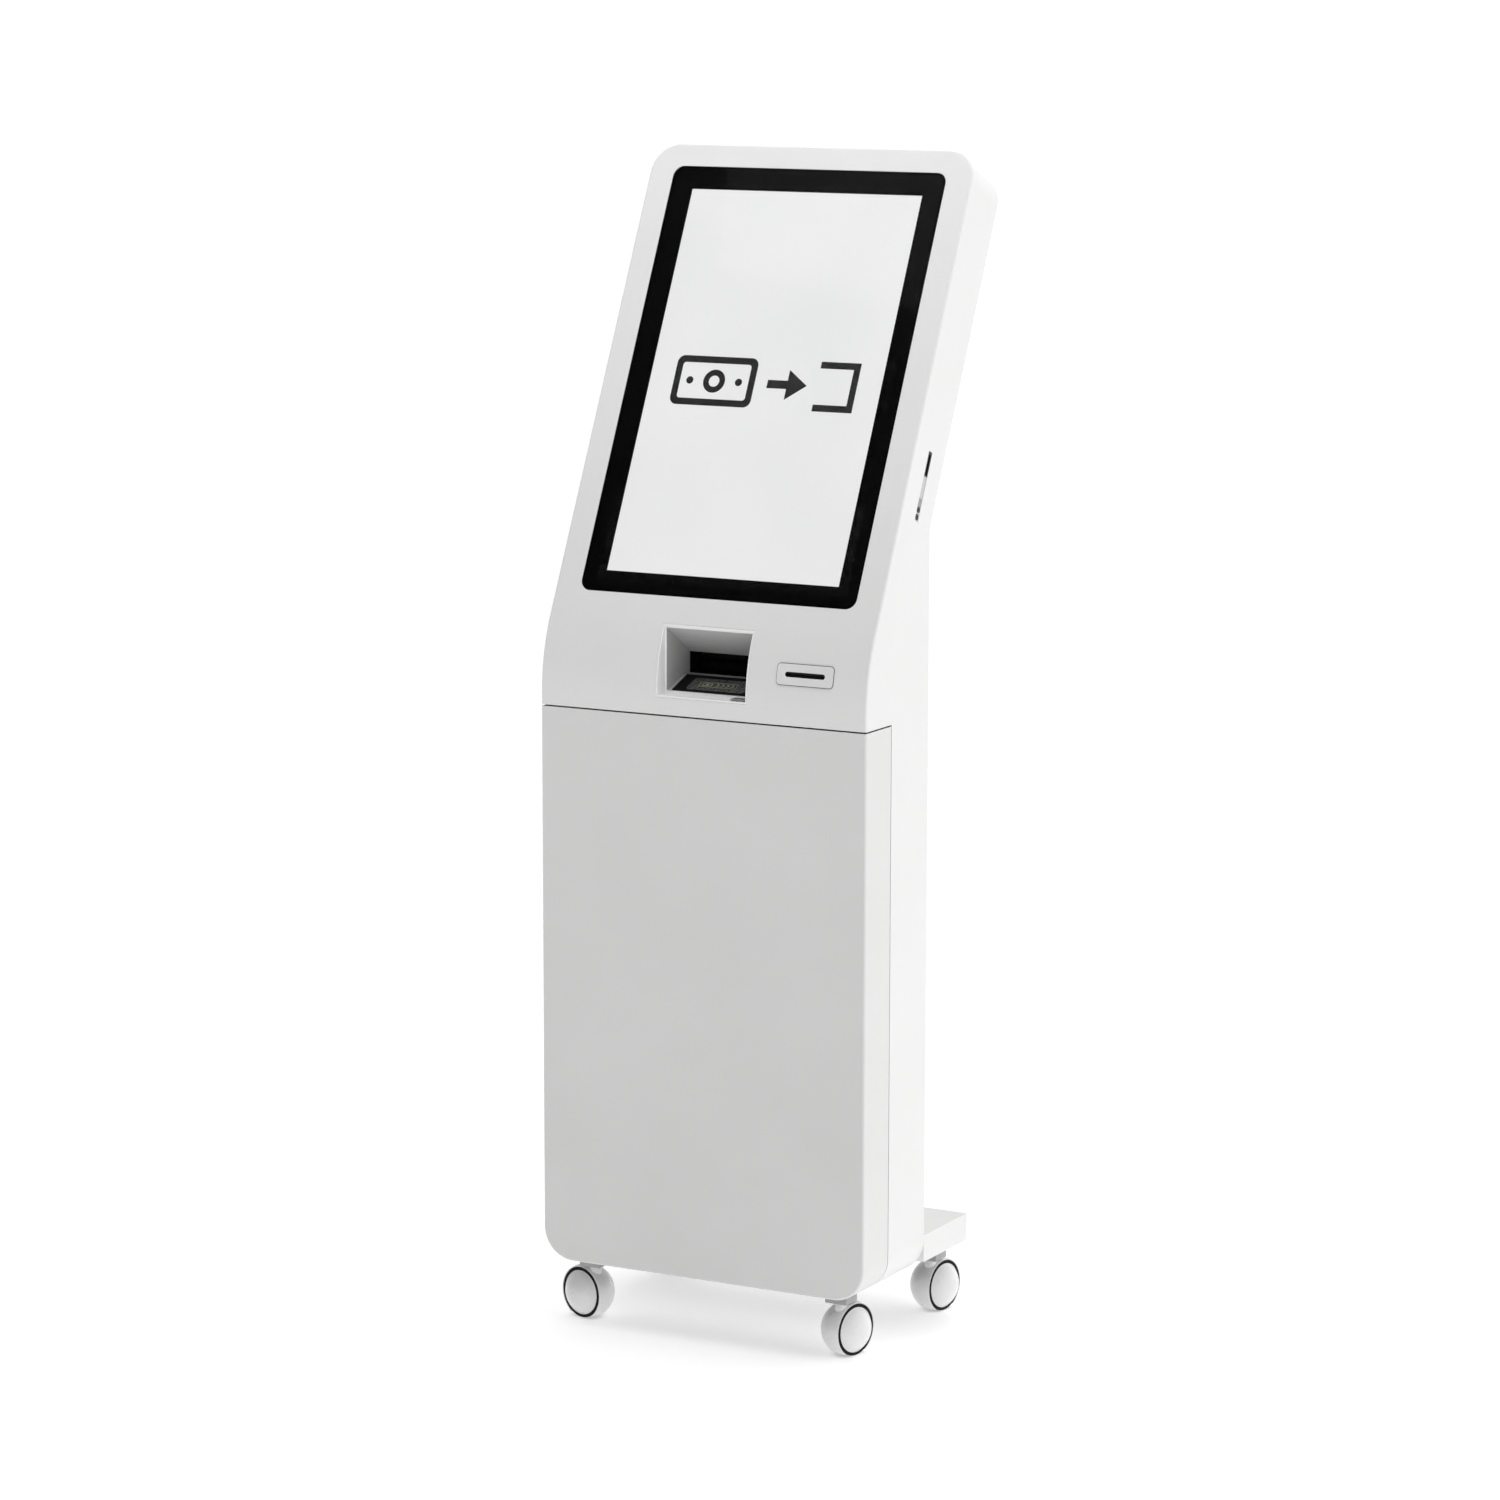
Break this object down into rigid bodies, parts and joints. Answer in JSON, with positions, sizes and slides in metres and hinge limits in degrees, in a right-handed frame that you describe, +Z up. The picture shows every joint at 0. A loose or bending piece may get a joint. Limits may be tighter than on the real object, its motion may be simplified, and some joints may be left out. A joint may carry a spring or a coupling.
{
  "type": "cash machine kiosk",
  "caption": "Free-standing cash machine with a leaning touch screen head, a recessed cash pocket, a card slot, a hinged front door and ball casters.",
  "frame": {"origin": "on the floor, under the middle of the overall box", "axes": "+Z up, +X to the right of a person facing the machine, +Y from the front to the back"},
  "size_m": [0.46, 0.3754, 1.493],
  "materials": {
    "shell_paint": "fine powder coat, white",
    "door_paint": "fine powder coat, light grey-white",
    "dark_steel": "black powder coat",
    "zinc_steel": "zinc plated sheet",
    "screw_steel": "plated",
    "screen_glass": "clear polished",
    "screen_mask": "black printed border",
    "display_face": "bright display face",
    "black_rubber": "matte",
    "black_plastic": "fine moulded texture",
    "grey_plastic": "satin",
    "liner_plastic": "satin white",
    "bezel_plastic": "satin white",
    "caster_grey": "satin grey",
    "caster_white": "glossy white",
    "tyre_black": "smooth tread"
  },
  "bodies": {
    "cabinet": {"ballast_block": "dark_steel", "base_spacers": "dark_steel", "base_tray": "shell_paint", "base_underplate": "dark_steel", "cabinet_shell": "shell_paint", "card_bezel": "bezel_plastic", "card_reader": "black_plastic", "cash_box_shelf": "zinc_steel", "controller_box": "dark_steel", "cover_glass": "screen_glass", "display_carrier": "zinc_steel", "display_chassis": "zinc_steel", "display_panel": "display_face", "display_rails": "zinc_steel", "door_magnet_catch": "black_plastic", "fan_frame": "black_plastic", "front_left_caster_plate": "caster_grey", "front_right_caster_plate": "caster_grey", "head_cover_screws": "screw_steel", "head_rear_cover": "shell_paint", "hinge_brackets": "zinc_steel", "hinge_pins": "zinc_steel", "note_sensor": "grey_plastic", "note_validator": "black_plastic", "pocket_floor_plate": "black_plastic", "pocket_liner": "liner_plastic", "power_inlet": "black_plastic", "power_supply": "dark_steel", "rear_left_caster_plate": "caster_grey", "rear_panel": "shell_paint", "rear_panel_screws": "screw_steel", "rear_right_caster_plate": "caster_grey", "screen_gasket": "black_rubber", "screen_mask": "screen_mask", "side_port_plate": "grey_plastic", "side_port_socket": "black_plastic", "validator_shelf": "zinc_steel"},
    "door": {"front_door": "door_paint", "door_strike": "zinc_steel"},
    "cash_box": {"cash_box": "dark_steel", "cash_box_handle": "black_plastic"},
    "feed_roller_upper": {"feed_roller_upper": "black_rubber"},
    "feed_roller_lower": {"feed_roller_lower": "black_rubber"},
    "fan_rotor": {"fan_rotor": "black_plastic"},
    "side_button_upper": {"side_button_upper": "black_plastic"},
    "side_button_lower": {"side_button_lower": "black_plastic"},
    "power_switch": {"power_switch": "black_plastic"},
    "front_left_swivel": {"front_left_caster_hood": "caster_white"},
    "front_left_wheel": {"front_left_caster_wheel": "caster_white", "front_left_caster_tyre": "tyre_black"},
    "front_right_swivel": {"front_right_caster_hood": "caster_white"},
    "front_right_wheel": {"front_right_caster_wheel": "caster_white", "front_right_caster_tyre": "tyre_black"},
    "rear_left_swivel": {"rear_left_caster_hood": "caster_white"},
    "rear_left_wheel": {"rear_left_caster_wheel": "caster_white", "rear_left_caster_tyre": "tyre_black"},
    "rear_right_swivel": {"rear_right_caster_hood": "caster_white"},
    "rear_right_wheel": {"rear_right_caster_wheel": "caster_white", "rear_right_caster_tyre": "tyre_black"}
  },
  "joints": [
    {"name": "door_hinge", "type": "hinge", "parent": "cabinet", "child": "door", "pos_m": [-0.222, -0.13087, 0.4015], "axis": [0, 0, -1], "range_deg": [0, 105]},
    {"name": "cash_box_slide", "type": "slide", "parent": "cabinet", "child": "cash_box", "axis": [0, -1, 0], "range_m": [0, 0.045]},
    {"name": "feed_roller_upper_spin", "type": "hinge", "parent": "cabinet", "child": "feed_roller_upper", "pos_m": [0, -0.07467, 0.8668], "axis": [1, 0, 0], "continuous": true},
    {"name": "feed_roller_lower_spin", "type": "hinge", "parent": "cabinet", "child": "feed_roller_lower", "pos_m": [0, -0.07467, 0.8502], "axis": [1, 0, 0], "continuous": true},
    {"name": "fan_spin", "type": "hinge", "parent": "cabinet", "child": "fan_rotor", "pos_m": [0, 0.13437, 1.35983], "axis": [0, 0.9037, -0.4281], "continuous": true},
    {"name": "power_switch_rock", "type": "hinge", "parent": "cabinet", "child": "power_switch", "pos_m": [0.117, -0.02067, 0.193], "axis": [1, 0, 0], "range_deg": [-8, 8]},
    {"name": "side_button_upper_press", "type": "slide", "parent": "cabinet", "child": "side_button_upper", "axis": [-1, 0, 0], "range_m": [0, 0.001], "stiffness_N_per_m": 300},
    {"name": "side_button_lower_press", "type": "slide", "parent": "cabinet", "child": "side_button_lower", "axis": [-1, 0, 0], "range_m": [0, 0.001], "stiffness_N_per_m": 300},
    {"name": "front_left_swivel", "type": "hinge", "parent": "cabinet", "child": "front_left_swivel", "pos_m": [-0.178, -0.14567, 0.0705], "axis": [0, 0, 1], "continuous": true},
    {"name": "front_left_roll", "type": "hinge", "parent": "front_left_swivel", "child": "front_left_wheel", "pos_m": [-0.19338, -0.14126, 0.033], "axis": [0.2756, 0.9613, 0], "continuous": true},
    {"name": "front_right_swivel", "type": "hinge", "parent": "cabinet", "child": "front_right_swivel", "pos_m": [0.178, -0.14567, 0.0705], "axis": [0, 0, 1], "continuous": true},
    {"name": "front_right_roll", "type": "hinge", "parent": "front_right_swivel", "child": "front_right_wheel", "pos_m": [0.18187, -0.13015, 0.033], "axis": [0.9703, -0.2419, 0], "continuous": true},
    {"name": "rear_left_swivel", "type": "hinge", "parent": "cabinet", "child": "rear_left_swivel", "pos_m": [-0.186, 0.09033, 0.0705], "axis": [0, 0, 1], "continuous": true},
    {"name": "rear_left_roll", "type": "hinge", "parent": "rear_left_swivel", "child": "rear_left_wheel", "pos_m": [-0.18933, 0.10598, 0.033], "axis": [0.9781, 0.2079, 0], "continuous": true},
    {"name": "rear_right_swivel", "type": "hinge", "parent": "cabinet", "child": "rear_right_swivel", "pos_m": [0.186, 0.09033, 0.0705], "axis": [0, 0, 1], "continuous": true},
    {"name": "rear_right_roll", "type": "hinge", "parent": "rear_right_swivel", "child": "rear_right_wheel", "pos_m": [0.18878, 0.10609, 0.033], "axis": [0.9848, -0.1736, 0], "continuous": true}
  ],
  "couplings": [
    {"joint": "feed_roller_lower_spin", "follows": "feed_roller_upper_spin", "ratio": -1}
  ]
}
